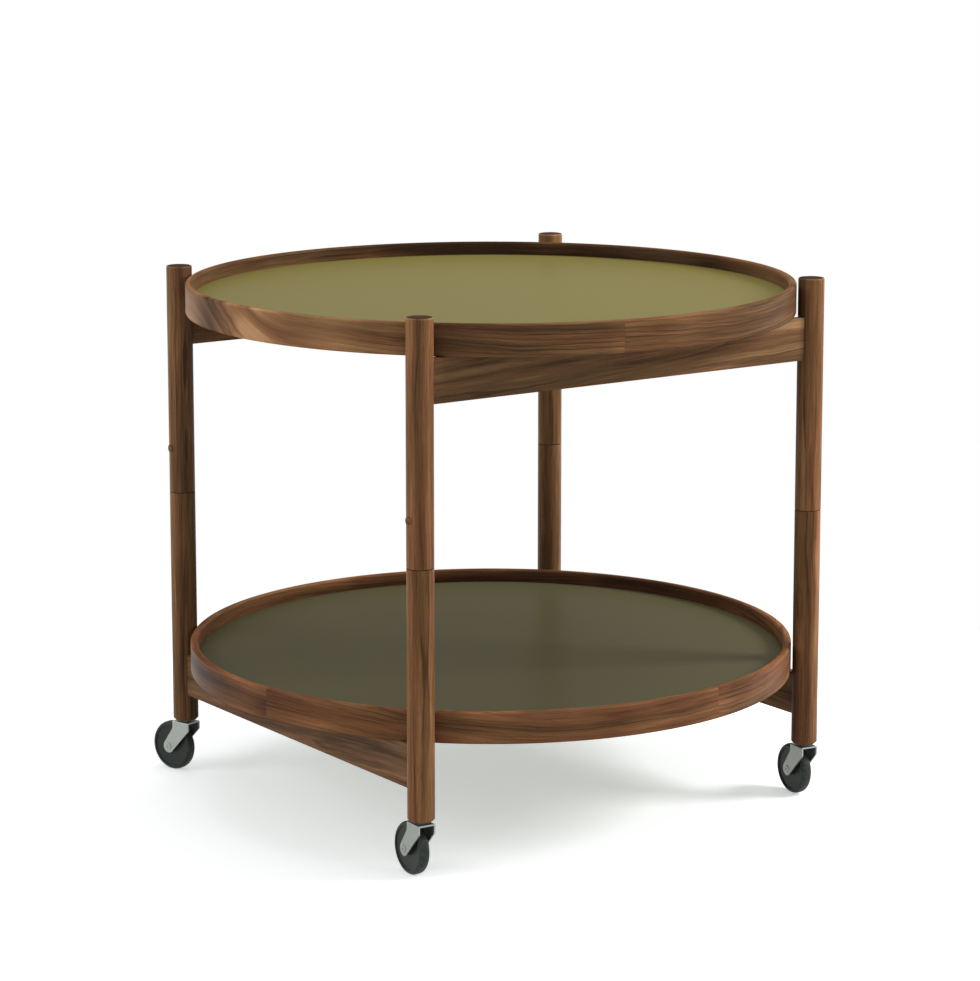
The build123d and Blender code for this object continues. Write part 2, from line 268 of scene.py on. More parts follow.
class TrolleyWood(bpy.types.PropertyGroup):
    darkest: FloatVectorProperty(
        name="Darkest", description="The darkest streaks",
        default=(0.034, 0.0158, 0.0078), subtype="COLOR", min=0.0, max=1.0)
    dark: FloatVectorProperty(
        name="Dark", description="Dark heartwood",
        default=(0.090, 0.042, 0.0185), subtype="COLOR", min=0.0, max=1.0)
    middle: FloatVectorProperty(
        name="Middle", description="Plain heartwood",
        default=(0.186, 0.089, 0.0385), subtype="COLOR", min=0.0, max=1.0)
    pale: FloatVectorProperty(
        name="Pale", description="Pale heartwood",
        default=(0.325, 0.165, 0.073), subtype="COLOR", min=0.0, max=1.0)
    palest: FloatVectorProperty(
        name="Palest", description="The palest streaks",
        default=(0.500, 0.280, 0.138), subtype="COLOR", min=0.0, max=1.0)
    roughness: FloatProperty(
        name="Roughness", description="Of the oiled surface",
        default=0.42, subtype="FACTOR", min=0.0, max=1.0)
    gloss: FloatProperty(
        name="Gloss", description="How strongly the oil reflects",
        default=0.06, subtype="FACTOR", min=0.0, max=1.0)
    streaks: FloatProperty(
        name="Streaks", description="How strongly fine streaks show",
        default=0.46, subtype="FACTOR", min=0.0, max=1.0)
    bands: FloatProperty(
        name="Bands", description="How strongly broad soft bands show", default=0.55, min=0.0)
    rings: FloatProperty(name="Rings", description="Growth rings for each metre", default=270.0, min=0.0)
    ring_strength: FloatProperty(
        name="Ring strength", description="How strongly the rings show",
        default=0.50, subtype="FACTOR", min=0.0, max=1.0)
    olive_cast: FloatVectorProperty(
        name="Olive cast", description="Tint of the greener patches",
        default=(0.98, 1.03, 0.97), subtype="COLOR", min=0.0, max=2.0)
    red_cast: FloatVectorProperty(
        name="Red cast", description="Tint of the redder patches",
        default=(1.04, 0.97, 0.95), subtype="COLOR", min=0.0, max=2.0)
    front_cast: FloatVectorProperty(
        name="Front cast", description="Tint of the front legs",
        default=(1.03, 0.99, 1.0), subtype="COLOR", min=0.0, max=2.0)
    back_cast: FloatVectorProperty(
        name="Back cast", description="Tint of the rear legs",
        default=(0.97, 1.04, 1.10), subtype="COLOR", min=0.0, max=2.0)
    rail_cast: FloatVectorProperty(
        name="Rail cast", description="Tint of the rails",
        default=(0.98, 1.06, 1.16), subtype="COLOR", min=0.0, max=2.0)


class TrolleyRims(bpy.types.PropertyGroup):
    thickness: FloatProperty(name="Thickness", description="Of a rim", default=0.0077, unit="LENGTH")
    rounding: FloatProperty(name="Rounding", description="Of a rim's edges", default=0.0025, unit="LENGTH")
    groove_play: FloatProperty(
        name="Groove play", description="Room round a panel in its groove", default=0.0002, unit="LENGTH")
    upper_cast: FloatVectorProperty(
        name="Upper cast", description="Tint of the upper rim",
        default=(0.99, 1.02, 1.07), subtype="COLOR", min=0.0, max=2.0)
    lower_cast: FloatVectorProperty(
        name="Lower cast", description="Tint of the lower rim",
        default=(1.03, 0.96, 0.99), subtype="COLOR", min=0.0, max=2.0)
    rounds: IntProperty(name="Steps", description="Segments round a rim", default=384, min=24)


class TrolleyPanels(bpy.types.PropertyGroup):
    olive: FloatVectorProperty(
        name="Olive laminate", description="Upper face of the upper tray",
        default=(0.184, 0.155, 0.0450), subtype="COLOR", min=0.0, max=1.0)
    dark: FloatVectorProperty(
        name="Dark laminate", description="Upper face of the lower tray",
        default=(0.113, 0.100, 0.0500), subtype="COLOR", min=0.0, max=1.0)
    core: FloatVectorProperty(
        name="Panel core", description="The plywood between the laminates",
        default=(0.33, 0.24, 0.15), subtype="COLOR", min=0.0, max=1.0)
    gloss: FloatProperty(
        name="Gloss", description="How strongly the laminates reflect",
        default=0.004, subtype="FACTOR", min=0.0, max=1.0)
    roughness: FloatProperty(
        name="Roughness", description="Of the laminates",
        default=0.35, subtype="FACTOR", min=0.0, max=1.0)


class TrolleyMetal(bpy.types.PropertyGroup):
    zinc: FloatVectorProperty(
        name="Zinc", description="Plating of the forks, axles and stems",
        default=(0.33, 0.34, 0.318), subtype="COLOR", min=0.0, max=1.0)
    steel: FloatVectorProperty(
        name="Steel", description="Pins, screws and sockets",
        default=(0.50, 0.50, 0.49), subtype="COLOR", min=0.0, max=1.0)
    brass: FloatVectorProperty(
        name="Brass", description="Bushes in the upper legs",
        default=(0.70, 0.52, 0.24), subtype="COLOR", min=0.0, max=1.0)
    roughness: FloatProperty(
        name="Roughness", description="Of the zinc", default=0.45, subtype="FACTOR", min=0.0, max=1.0)


class TrolleyWheels(bpy.types.PropertyGroup):
    radius: FloatProperty(
        name="Radius", description="Of a wheel at its tread", default=0.025, unit="LENGTH")
    width: FloatProperty(name="Width", description="Of a tyre", default=0.011, unit="LENGTH")
    depth: FloatProperty(
        name="Tyre depth", description="From the tread to the wheel core", default=0.0032, unit="LENGTH")
    crown: FloatProperty(
        name="Crown", description="How much lower the shoulders are than the tread",
        default=0.0029, unit="LENGTH")
    flat: FloatProperty(
        name="Tread flat", description="Width of the level middle of the tread",
        default=0.003, unit="LENGTH")
    rounding: FloatProperty(
        name="Rounding", description="Of a tyre's shoulders", default=0.0004, unit="LENGTH")
    bore: FloatProperty(name="Bore", description="Radius of the hub's hole", default=0.0026, unit="LENGTH")
    hub: FloatProperty(name="Hub", description="Radius of the hub", default=0.0065, unit="LENGTH")
    hub_width: FloatProperty(
        name="Hub width", description="Of the hub, along the axle", default=0.0144, unit="LENGTH")
    web: FloatProperty(
        name="Web", description="Thickness of the disc between hub and lip",
        default=0.0086, unit="LENGTH")
    lip: FloatProperty(
        name="Lip", description="Height of the lip that holds the tyre, towards the hub",
        default=0.0012, unit="LENGTH")
    rubber: FloatVectorProperty(
        name="Rubber", description="Tyres",
        default=(0.017, 0.0215, 0.017), subtype="COLOR", min=0.0, max=1.0)
    dust: FloatVectorProperty(
        name="Dust", description="On the tyres",
        default=(0.044, 0.054, 0.044), subtype="COLOR", min=0.0, max=1.0)
    plastic: FloatVectorProperty(
        name="Plastic", description="Wheel cores",
        default=(0.0155, 0.0205, 0.0155), subtype="COLOR", min=0.0, max=1.0)
    gloss: FloatProperty(
        name="Gloss", description="How strongly rubber and plastic reflect",
        default=0.25, subtype="FACTOR", min=0.0, max=1.0)
    rounds: IntProperty(name="Steps", description="Segments round a tyre", default=128, min=24)


# Woods

# How far the grain sways across a piece, in metres, in long waves and in short ones
SWAY = 0.013
RIPPLE = 0.0042
# The same for the dark and pale bands of a piece's marks
MARK_SWAY = 0.016
# Tone across one growth ring, up to its dark end, and the tone that changes nothing
RING_TONES = [(0.0, 0.10), (0.10, 0.42), (0.45, 0.62), (0.84, 0.74), (0.96, 0.12), (1.0, 0.10)]
RING_MIDDLE = 0.54
# The tones of the wood's five colours, from the darkest to the palest
PALETTE_TONES = (0.0, 0.27, 0.52, 0.77, 1.0)
# From where to where a glue line fades, each side of its middle, in metres
GLUE_LINE = (0.0002, 0.0007)
# From which slopes a face that looks up is made paler, a painted highlight, and a face up or down is made
# rougher, and what counts as end grain
EDGE_SLOPES = (0.20, 0.70)
END_SLOPES = (0.80, 0.97)
# How much darker end grain and glue lines are, and how much paler the upper edge round end grain is made, a
# painted highlight
END_SHADE = 0.76
GLUE_SHADE = 0.07
END_EDGE_HIGHLIGHT = 0.45


def upright(tree, centre):
    """Grain up a leg: the run along it, and two ways across."""
    x, y, z = tree.here()
    return z, x - centre.x, y - centre.y


def lengthwise(tree, centre, axis):
    """Grain along a rail: the run along it, its height, and the way through it."""
    x, y, z = tree.here()
    run, through = (x - centre.x, y - centre.y) if axis == "x" else (y - centre.y, x - centre.x)
    return run, z - centre.z, through


def round_rim(tree, radius, centre_z, joints):
    """Grain round a rim bent from strips: the run, the height, the way through, a mask of the joints, the
    share of a turn, and the strip's number.

    joints are azimuths in degrees. The first one is where the run starts and ends.
    """
    x, y, z = tree.here()
    start = radians(joints[0] + 180.0)
    right = x * cos(start) + y * sin(start)
    left = y * cos(start) - x * sin(start)
    angle = left.math("ARCTAN2", left, right)
    reach = (x * x + y * y) ** 0.5
    run = angle * radius
    line = ((pi - abs(angle)) * radius).smooth(*GLUE_LINE)
    strip = angle * 0.0
    for joint in joints[1:]:
        place = (radians(joint) - start + pi) % (2 * pi) - pi
        line = line * (abs(angle - place) * radius).smooth(*GLUE_LINE)
        strip = strip + angle.above(place)
    return run, z - centre_z, reach - radius, 1.0 - line, angle * (0.5 / pi) + 0.5, strip


def walnut(tree, wood, run, across, through, width, figure, seed, heart=(0.03, 0.06), lean=0.0, curls=(),
           shift=0.0, calm=0.0, marks=None, ends=None, joint=None, cast=WHITE, edge=0.0):
    """The sockets of oiled walnut.

    figure lists (share of the width, tone) across the grain, tone 0 the darkest and 1 the palest wood.
    For the legs these tones hold painted light and shade too.
    heart is where the tree's middle lies, across and through. lean is how far the grain climbs across
    for each metre of run. curls lists (from, to, rise) along the run, where the rings cross the piece.
    shift is added to the tone. calm is where broad bands take over from streaks and rings. marks is
    (from, to, stops): tones, 0.5 for no change, over that stretch across the curled grain. ends is the
    axis of end grain, which is made darker, with a painted highlight on the upper edge round it. joint is
    a mask of glue lines, and cast a tint of the whole piece. edge is how much paler upward faces are made,
    a painted highlight.
    """
    slow = tree.noise(tree.point(run * 3.2 + seed, across * 12.0, through * 12.0 + seed), 2.0) - 0.5
    quick = tree.noise(tree.point(run * 17.0 + seed, across * 50.0 + seed, through * 50.0), 2.0) - 0.5
    bent = across + slow * SWAY + quick * RIPPLE - run * lean
    tone = tree.grey_ramp(bent * (1.0 / width) + 0.5, figure) + shift
    for start, end, rise in curls:
        bent = bent + run.smooth(start, end) * rise

    reach = ((bent - heart[0]) ** 2 + (through - heart[1] + slow * 0.012) ** 2) ** 0.5
    uneven = tree.noise(tree.point(run * 5.0 + seed, bent * 90.0, through * 90.0), 1.0)
    ring_tone = tree.grey_ramp((reach * wood.rings + uneven * 1.5).fraction(), RING_TONES)
    ring_depth = tree.noise(tree.point(run * 7.0 + seed, bent * 70.0 + seed, through * 30.0), 2.0)
    coarse = tree.noise(tree.point(bent * 170.0, run * 5.5 + seed, through * 60.0), 3.0, 0.65) - 0.5
    fine = tree.noise(tree.point(bent * 640.0, run * 19.0 + seed, through * 260.0), 2.0, 0.65) - 0.5
    if marks is not None:
        low, high, stops = marks
        wavy = tree.noise(tree.point(run * 26.0 + seed, across * 40.0, through * 40.0), 2.0) - 0.5
        tone = tone + tree.grey_ramp((bent + wavy * MARK_SWAY - low) * (1.0 / (high - low)), stops) - 0.5
    broad = tree.noise(tree.point(bent * 62.0, run * 3.5 + seed, through * 25.0), 1.0) - 0.5
    lines = (ring_tone - RING_MIDDLE) * ring_depth.smooth(0.36, 0.70) * wood.ring_strength
    lines = lines + (coarse * 1.3 + fine * 1.1) * wood.streaks
    tone = tone + lines * (1.0 - calm * 0.62) + broad * (1.0 + calm * 1.3) * wood.bands

    palette = (wood.darkest, wood.dark, wood.middle, wood.pale, wood.palest)
    colour = tree.ramp(tone, list(zip(PALETTE_TONES, palette)))
    blush = tree.noise(tree.point(bent * 70.0, run * 4.0 + seed, through * 40.0 + seed), 1.0)
    olive, red = tree.tint(colour, wood.olive_cast), tree.tint(colour, wood.red_cast)
    colour = tree.tint(tree.mix(blush.smooth(0.35, 0.65), olive, red), cast)
    fibre = tree.noise(tree.point(run * 60.0 + seed, bent * 2100.0, through * 2100.0), 2.0, 0.55) - 0.5
    dashes = tree.noise(tree.point(run * 55.0 + seed, bent * 1300.0, through * 1300.0), 1.0)
    dashes = dashes.smooth(0.63, 0.74)
    pores = tree.noise(tree.point(run * 230.0 + seed, bent * 4200.0, through * 4200.0), 1.0)
    pores = pores.smooth(0.60, 0.72)
    light = (1.0 + fibre * 0.26) * (1.0 - pores * 0.22) * (1.0 - dashes * 0.30)
    rough = wood.roughness + fibre * 0.10 + pores * 0.12
    if joint is not None:
        light = light * (1.0 - joint * GLUE_SHADE)
    # Upward faces are made paler, a painted highlight, and faces up or down are made rougher
    if edge:
        level = tree.facing()[2]
        light = light * (1.0 + level.smooth(*EDGE_SLOPES) * edge)
        rough = rough + abs(level).smooth(*EDGE_SLOPES) * 0.5
    if ends is not None:
        facing = tree.facing()[ends]
        end_grain = abs(facing).smooth(*END_SLOPES)
        # A painted highlight: the upper edge round end grain is made paler
        end_edge_highlight = facing.smooth(0.10, 0.45) * (1.0 - end_grain)
        light = light * (1.0 - end_grain * END_SHADE) * (1.0 + end_edge_highlight * END_EDGE_HIGHLIGHT)
        rough = rough + end_grain * 0.45
    return {
        "Base Color": tree.scale(colour, light),
        "Roughness": rough,
        "Normal": tree.bump(fibre * 0.5 - pores - dashes, 0.25, 0.00012),
        "Specular IOR Level": wood.gloss,
    }


# Stage

# The floor's half width in metres, the colour of its card, how much it glows of itself, how far out it
# turns plain white, and its colour as a source of light on the trolley
FLOOR_REACH = 30.0
FLOOR_CARD = (0.965, 1.0, 0.995)
FLOOR_GLOW = 0.468
FLOOR_FADE = (0.45, 0.90)
FLOOR_LIT = (0.80, 0.80, 0.79)
# Each lamp's place, to the camera's right, away from it and up, and its width, in metres
LAMPS = {
    "key": ((2.2, -0.1, 1.45), 0.8),
    "fill": ((-2.2, -0.9, 1.2), 1.4),
    "top": ((0.25, 0.42, 2.4), 2.0),
    "front": ((0.5, -3.4, 1.6), 1.6),
}
LAMP_AIM = Vector((0.0, 0.0, 0.25))


def seen_rays(tree):
    """1 for rays that show the surroundings: straight, in gloss and through glass."""
    camera = tree.node("ShaderNodeLightPath", {}, {}, 0)
    glossy = tree.node("ShaderNodeLightPath", {}, {}, 3)
    clear = tree.node("ShaderNodeLightPath", {}, {}, 6)
    return camera.math("MAXIMUM", camera.math("MAXIMUM", camera, glossy), clear)


def floor_surface(tree):
    """Pale floor: it keeps the shadow near the trolley, and is white further out."""
    x, y, z = tree.here()
    away = ((x * x + y * y) ** 0.5).smooth(*FLOOR_FADE)
    relief = tree.bump(tree.speckle(90.0, 3.0, up=1.0) - 0.5, 0.05, 0.0002)
    card = tree.node("ShaderNodeBsdfDiffuse", {}, {"Color": opaque(FLOOR_CARD), "Normal": relief})
    glow = tree.node("ShaderNodeEmission", {}, {"Color": opaque(FLOOR_CARD), "Strength": FLOOR_GLOW})
    near = tree.node("ShaderNodeAddShader", {}, {0: card, 1: glow})
    white = tree.node("ShaderNodeEmission", {}, {"Color": opaque(WHITE), "Strength": 1.0})
    seen = tree.node("ShaderNodeMixShader", {}, {0: away, 1: near, 2: white})
    lit = tree.node("ShaderNodeBsdfDiffuse", {}, {"Color": opaque(FLOOR_LIT)})
    return tree.node("ShaderNodeMixShader", {}, {0: seen_rays(tree), 1: lit, 2: seen})


def from_camera(aside, away, height):
    """A place given by how far it is to the camera's right, away from it, and up."""
    yaw = radians(VIEW_YAW)
    return Vector((aside * cos(yaw) + away * sin(yaw), -aside * sin(yaw) + away * cos(yaw), height))


def softbox(name, place, size, level):
    """A square lamp. level is how bright it lights a white card that faces it where it is aimed."""
    data = bpy.data.lights.new(name, "AREA")
    data.shape = "SQUARE"
    data.size = size
    reach = place - LAMP_AIM
    data.energy = level * pi**2 * reach.length_squared
    lamp = bpy.data.objects.new(name, data)
    bpy.context.scene.collection.objects.link(lamp)
    lamp.location = place
    lamp.rotation_euler = reach.to_track_quat("Z", "Y").to_euler()
    lamp.visible_camera = False


class DressStage(bpy.types.Operator):
    """Set up the floor, the lamps, the room's light and the camera"""

    bl_idname = "trolley.stage"
    bl_label = "Stage"

    def execute(self, context):
        stage = context.scene.trolley_stage
        corners = [(x * FLOOR_REACH, y * FLOOR_REACH, 0.0) for x, y in ((-1, -1), (1, -1), (1, 1), (-1, 1))]
        mesh = bpy.data.meshes.new("floor")
        mesh.from_pydata(corners, [], [(0, 1, 2, 3)])
        floor = bpy.data.objects.new("floor", mesh)
        context.scene.collection.objects.link(floor)
        material = bpy.data.materials.new("floor")
        material.use_nodes = True
        tree = Tree(material.node_tree)
        tree.node("ShaderNodeOutputMaterial", {}, {0: floor_surface(tree)})
        mesh.materials.append(material)

        world = bpy.data.worlds.new("room")
        world.use_nodes = True
        tree = Tree(world.node_tree)
        strength = stage.sky + seen_rays(tree) * (1.0 - stage.sky)
        sky = tree.node("ShaderNodeBackground", {}, {"Color": opaque(WHITE), "Strength": strength})
        tree.node("ShaderNodeOutputWorld", {}, {0: sky})
        context.scene.world = world

        for name, (place, size) in LAMPS.items():
            softbox(name, from_camera(*place), size, getattr(stage, name))

        data = bpy.data.cameras.new("camera")
        data.sensor_width = 36.0
        data.lens = stage.lens
        data.shift_y = stage.shift
        data.clip_end = 200.0
        camera = bpy.data.objects.new("camera", data)
        context.scene.collection.objects.link(camera)
        camera.location = from_camera(stage.aside, -stage.distance, stage.height)
        camera.rotation_euler = (radians(90.0) - stage.pitch, 0.0, -radians(VIEW_YAW))
        context.scene.camera = camera
        context.scene.view_settings.view_transform = "Standard"
        return {"FINISHED"}


# Rings

# Points on a rounded corner, how near points are joined, in metres, and from which angle an edge is sharp
CORNER_POINTS = 7
JOIN_WITHIN = 0.000001
SHARP_EDGE = radians(30.0)


def geometry_tree(name, inputs):
    """A geometry tree with named inputs. It returns the tree's group, its Tree, and its inputs as Values."""
    group = bpy.data.node_groups.new(name, "GeometryNodeTree")
    group.interface.new_socket("Geometry", in_out="OUTPUT", socket_type="NodeSocketGeometry")
    for label, kind in inputs.items():
        group.interface.new_socket(label, in_out="INPUT", socket_type=kind)
    tree = Tree(group)
    source = group.nodes.new("NodeGroupInput")
    return group, tree, {label: Value(tree, source.outputs[label]) for label in inputs}


def made_by(group, values, name):
    """Run a geometry tree with its inputs set by their identifiers, and keep the result as a plain mesh."""
    holder = bpy.data.objects.new(name, bpy.data.meshes.new(name))
    bpy.context.scene.collection.objects.link(holder)
    modifier = holder.modifiers.new("build", "NODES")
    modifier.node_group = group
    for item in group.interface.items_tree:
        if item.in_out == "INPUT":
            modifier[item.identifier] = values[item.name]
    bpy.context.view_layer.update()
    result = holder.evaluated_get(bpy.context.evaluated_depsgraph_get())
    mesh = bpy.data.meshes.new_from_object(result)
    holder.modifiers.clear()
    holder.data = mesh
    return holder


def ring_group(name, sizes, corners, section):
    """A geometry tree that carries a closed section round the Z axis.

    sizes are the names of its inputs. section(index, of) gives, for each of the section's corners, its
    reach from the axis, its height, and how far it is rounded.
    """
    inputs = {size: "NodeSocketFloat" for size in sizes}
    inputs.update({"Steps": "NodeSocketInt", "Material": "NodeSocketMaterial"})
    group, tree, of = geometry_tree(name, inputs)
    reach, height, rounding = section(tree.node("GeometryNodeInputIndex"), of)
    outline = tree.node("GeometryNodeMeshLine", {}, {"Count": corners})
    place = tree.point(reach - of["Radius"], height * -1.0, 0.0)
    outline = tree.node("GeometryNodeSetPosition", {}, {"Geometry": outline, "Position": place})
    outline = tree.node("GeometryNodeMeshToCurve", {}, {"Mesh": outline})
    outline = tree.node("GeometryNodeSetSplineCyclic", {}, {"Geometry": outline, "Cyclic": True})
    outline = tree.node("GeometryNodeFilletCurve", {"mode": "POLY"},
                        {"Curve": outline, "Radius": rounding, "Count": CORNER_POINTS})
    path = tree.node("GeometryNodeCurvePrimitiveCircle", {"mode": "RADIUS"},
                     {"Resolution": of["Steps"], "Radius": of["Radius"]})
    ring = tree.node("GeometryNodeCurveToMesh", {},
                     {"Curve": path, "Profile Curve": outline, "Fill Caps": False})
    ring = tree.node("GeometryNodeMergeByDistance", {}, {"Geometry": ring, "Distance": JOIN_WITHIN})
    ring = tree.node("GeometryNodeFlipFaces", {}, {"Mesh": ring})
    ring = tree.node("GeometryNodeSetShadeSmooth", {"domain": "FACE"},
                     {"Geometry": ring, "Shade Smooth": True})
    sharp = tree.node("GeometryNodeInputMeshEdgeAngle").above(SHARP_EDGE)
    ring = tree.node("GeometryNodeSetShadeSmooth", {"domain": "EDGE"},
                     {"Geometry": ring, "Selection": sharp, "Shade Smooth": False})
    ring = tree.node("GeometryNodeRealizeInstances", {}, {"Geometry": ring})
    ring = tree.node("GeometryNodeSetMaterial", {}, {"Geometry": ring, "Material": of["Material"]})
    tree.node("NodeGroupOutput", {}, {0: ring})
    return group


def between(index, low, high):
    """1 for the corners from low to high, 0 for the others."""
    return index.above(low - 0.5) * (1.0 - index.above(high + 0.5))


# Wooden pieces

# A ramp that changes nothing
LEVEL = [(0.0, 0.5), (1.0, 0.5)]
# Tones across each leg half from the photo's left to its right: partly the wood's figure and partly
# painted light and shade, paler towards a leg's lit side and darker towards its shaded one
LEG_FIGURES_AND_SIDE_LIGHT = {
    "upper_leg_front_left": [
        (0.0, 0.65), (0.12, 0.60), (0.30, 0.50), (0.55, 0.48), (0.72, 0.52), (0.86, 0.57), (1.0, 0.53),
    ],
    "lower_leg_front_left": [
        (0.0, 0.63), (0.15, 0.58), (0.32, 0.44), (0.50, 0.52), (0.66, 0.52), (0.80, 0.56), (1.0, 0.60),
    ],
    "upper_leg_front_right": [
        (0.0, 0.34), (0.12, 0.38), (0.26, 0.48), (0.50, 0.42), (0.70, 0.46), (0.84, 0.56), (1.0, 0.52),
    ],
    "lower_leg_front_right": [
        (0.0, 0.34), (0.16, 0.38), (0.34, 0.44), (0.56, 0.37), (0.74, 0.48), (0.86, 0.68), (1.0, 0.62),
    ],
    "upper_leg_rear_left": [
        (0.0, 0.66), (0.15, 0.54), (0.35, 0.39), (0.58, 0.32), (0.78, 0.40), (1.0, 0.34),
    ],
    "lower_leg_rear_left": [
        (0.0, 0.50), (0.16, 0.55), (0.34, 0.48), (0.50, 0.38), (0.70, 0.38), (0.88, 0.34), (1.0, 0.28),
    ],
    "upper_leg_rear_right": [(0.0, 0.52), (0.20, 0.50), (0.45, 0.54), (0.75, 0.58), (1.0, 0.66)],
    "lower_leg_rear_right": [(0.0, 0.36), (0.25, 0.28), (0.45, 0.29), (0.65, 0.50), (1.0, 0.72)],
}
# How much paler some leg halves are from their lower end to their upper, 0.5 for no change
LEG_CHANGES = {
    "upper_leg_front_right": [(0.0, 0.56), (0.20, 0.53), (0.45, 0.47), (1.0, 0.50)],
    "lower_leg_front_right": [(0.0, 0.37), (0.25, 0.40), (0.50, 0.50), (0.75, 0.53), (1.0, 0.55)],
    "lower_leg_rear_left": [(0.0, 0.36), (0.25, 0.37), (0.45, 0.46), (0.80, 0.54), (1.0, 0.55)],
    "lower_leg_rear_right": [(0.0, 0.46), (0.50, 0.49), (0.80, 0.53), (1.0, 0.56)],
}
LEG_WIDTH = 0.0255
BUTTON_FIGURE = [(0.0, 0.42), (1.0, 0.52)]


class DressLegs(bpy.types.Operator):
    """Give the eight leg halves upright walnut grain, with painted light and shade across them, and the two
    buttons grain across
    """

    bl_idname = "trolley.legs"
    bl_label = "Legs and buttons"

    def execute(self, context):
        wood = context.scene.trolley_wood
        turn = radians(-VIEW_YAW)
        for number, (node, figure) in enumerate(LEG_FIGURES_AND_SIDE_LIGHT.items()):
            centre = middle_of(node)

            def build(tree):
                run, east, north = upright(tree, centre)
                across = east * cos(turn) + north * sin(turn)
                through = north * cos(turn) - east * sin(turn)
                low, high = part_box(node)
                rise = (run - low.z) * (1.0 / (high.z - low.z))
                shift = tree.grey_ramp(rise, LEG_CHANGES.get(node, LEVEL)) - 0.5
                heart = (0.05 * cos(number * 2.4), 0.07 + 0.03 * sin(number * 1.7))
                cast = wood.back_cast if "rear" in node else wood.front_cast
                return walnut(tree, wood, run, across, through, high.x - low.x, figure, 3.3 + 7.1 * number,
                              heart, shift=shift, ends=2, cast=cast)

            wear(node, shaded(f"walnut_{node}", build))
        for number, node in enumerate(("button_plug_front_left", "button_plug_rear_left")):
            centre = middle_of(node)

            def build(tree):
                x, y, z = tree.here()
                return walnut(tree, wood, y, z - centre.z, x, LEG_WIDTH, BUTTON_FIGURE, 61.0 + number)

            wear(node, shaded(f"walnut_{node}", build))
        return {"FINISHED"}


# Tones up each rail
RAIL_FIGURES = {
    "upper_rail_front": [
        (0.0, 0.40), (0.20, 0.44), (0.42, 0.38), (0.60, 0.54), (0.72, 0.38), (0.84, 0.54), (1.0, 0.38),
    ],
    "upper_rail_rear": [(0.0, 0.40), (0.30, 0.46), (0.60, 0.36), (1.0, 0.44)],
    "lower_rail_left": [(0.0, 0.46), (0.30, 0.40), (0.55, 0.52), (0.80, 0.42), (1.0, 0.50)],
    "lower_rail_right": [(0.0, 0.44), (0.40, 0.50), (0.70, 0.38), (1.0, 0.46)],
}
# How much paler some rails are along their runs, from one end to the other, 0.5 for no change
RAIL_CHANGES = {
    "upper_rail_front": [
        (0.0, 0.49), (0.25, 0.48), (0.42, 0.53), (0.60, 0.54), (0.75, 0.59), (1.0, 0.62),
    ],
    "lower_rail_left": [(0.0, 0.50), (0.40, 0.46), (1.0, 0.50)],
}
# How far each rail's grain climbs for each metre of run
RAIL_LEANS = {
    "upper_rail_front": 0.05, "upper_rail_rear": -0.02, "lower_rail_left": -0.08, "lower_rail_right": 0.03,
}
RAIL_HEIGHT = 0.042
# How much of RAIL_CHANGES one metre of a rail's run covers
RAIL_SHARE = 2.2
# How much paler a rail's upward faces are made, a painted highlight
RAIL_EDGE_HIGHLIGHT = 0.10
BEECH = ((0.50, 0.34, 0.20), (0.66, 0.48, 0.31))


class DressRails(bpy.types.Operator):
    """Give the four rails lengthwise walnut grain, and their dowels plain beech"""

    bl_idname = "trolley.rails"
    bl_label = "Rails and dowels"

    def execute(self, context):
        wood = context.scene.trolley_wood
        for number, (node, figure) in enumerate(RAIL_FIGURES.items()):
            centre = middle_of(node)
            axis = "x" if "upper" in node else "y"

            def build(tree):
                run, up, through = lengthwise(tree, centre, axis)
                heart = (0.010 - 0.015 * number, 0.05)
                shift = tree.grey_ramp(run * RAIL_SHARE + 0.5, RAIL_CHANGES.get(node, LEVEL)) - 0.5
                return walnut(tree, wood, run, up, through, RAIL_HEIGHT, figure, 81.7 + 5.9 * number, heart,
                              RAIL_LEANS[node], shift=shift, cast=wood.rail_cast, edge=RAIL_EDGE_HIGHLIGHT)

            wear(node, shaded(f"walnut_{node}", build))

        def beech(tree):
            return {"Base Color": tree.mix(tree.speckle(900.0, 2.0), *BEECH), "Roughness": 0.6}

        material = shaded("beech", beech)
        for node in frame["nodes"]:
            if "dowels" in node:
                wear(node, material)
        return {"FINISHED"}


# Tones up each rim, and where its strips meet, as azimuths in degrees
RIM_FIGURES = {
    "upper": ([(0.0, 0.50), (0.25, 0.46), (0.50, 0.42), (0.75, 0.42), (1.0, 0.46)], (-101.2,)),
    "lower": ([(0.0, 0.46), (0.30, 0.50), (0.55, 0.42), (0.80, 0.50), (1.0, 0.56)], (-79.4, -169.8)),
}
# How much paler each rim's outer face is, by the share of a turn from the first joint, 0.5 for no change
# The places and values here and in RIM_INSIDE_TONES_AND_SHADE were read off a program that sampled the photo and a render
RIM_CHANGES = {
    "upper": [
        (0.0, 0.50), (0.02, 0.48), (0.035, 0.53), (0.06, 0.47), (0.12, 0.42), (0.20, 0.44),
        (0.30, 0.48), (0.45, 0.46), (0.60, 0.50), (0.69, 0.65), (0.735, 0.74), (0.762, 0.35),
        (0.782, 0.51), (0.80, 0.95), (0.828, 0.76), (0.852, 0.84), (0.88, 0.61), (0.91, 0.36),
        (0.95, 0.38), (0.985, 0.46), (1.0, 0.50),
    ],
    "lower": [
        (0.0, 0.51), (0.016, 0.39), (0.035, 0.50), (0.06, 0.58), (0.10, 0.55), (0.20, 0.46),
        (0.45, 0.47), (0.56, 0.52), (0.64, 0.45), (0.674, 0.28), (0.70, 0.34), (0.735, 0.51),
        (0.752, 0.33), (0.79, 0.45), (0.815, 0.40), (0.845, 0.43), (0.866, 0.54), (0.892, 0.45),
        (0.913, 0.46), (0.935, 0.36), (0.955, 0.44), (0.972, 0.40), (0.986, 0.43), (1.0, 0.51),
    ],
}
